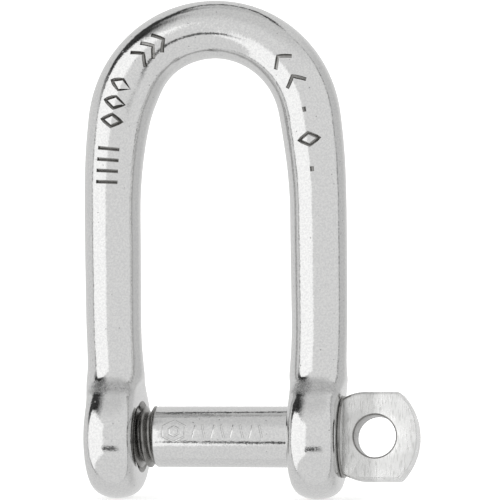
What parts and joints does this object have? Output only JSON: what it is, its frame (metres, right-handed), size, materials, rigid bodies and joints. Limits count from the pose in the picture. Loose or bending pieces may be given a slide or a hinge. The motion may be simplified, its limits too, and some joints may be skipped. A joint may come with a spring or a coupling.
{
  "type": "long dee shackle",
  "caption": "Forged stainless long D shackle with parallel limbs, round eyes and a screw pin with a flat holed tab.",
  "frame": {"origin": "on the pin's axis, midway between the flat inner faces of the two eyes", "axes": "+X along the pin towards its head, +Z from the pin up the limbs to the crown, Y through the thickness"},
  "size_m": [0.0275, 0.01, 0.0405],
  "materials": {
    "forged_body": "polished forged stainless steel, faintly pitted",
    "forged_pin": "polished stainless steel, satin on the tab's faces"
  },
  "bodies": {
    "shackle_body": {"shackle_body": "forged_body"},
    "screw_pin": {"screw_pin": "forged_pin"}
  },
  "joints": [
    {"name": "pin_withdraw", "type": "slide", "parent": "shackle_body", "child": "screw_pin", "axis": [1, 0, 0], "range_m": [0, 0.024]}
  ]
}
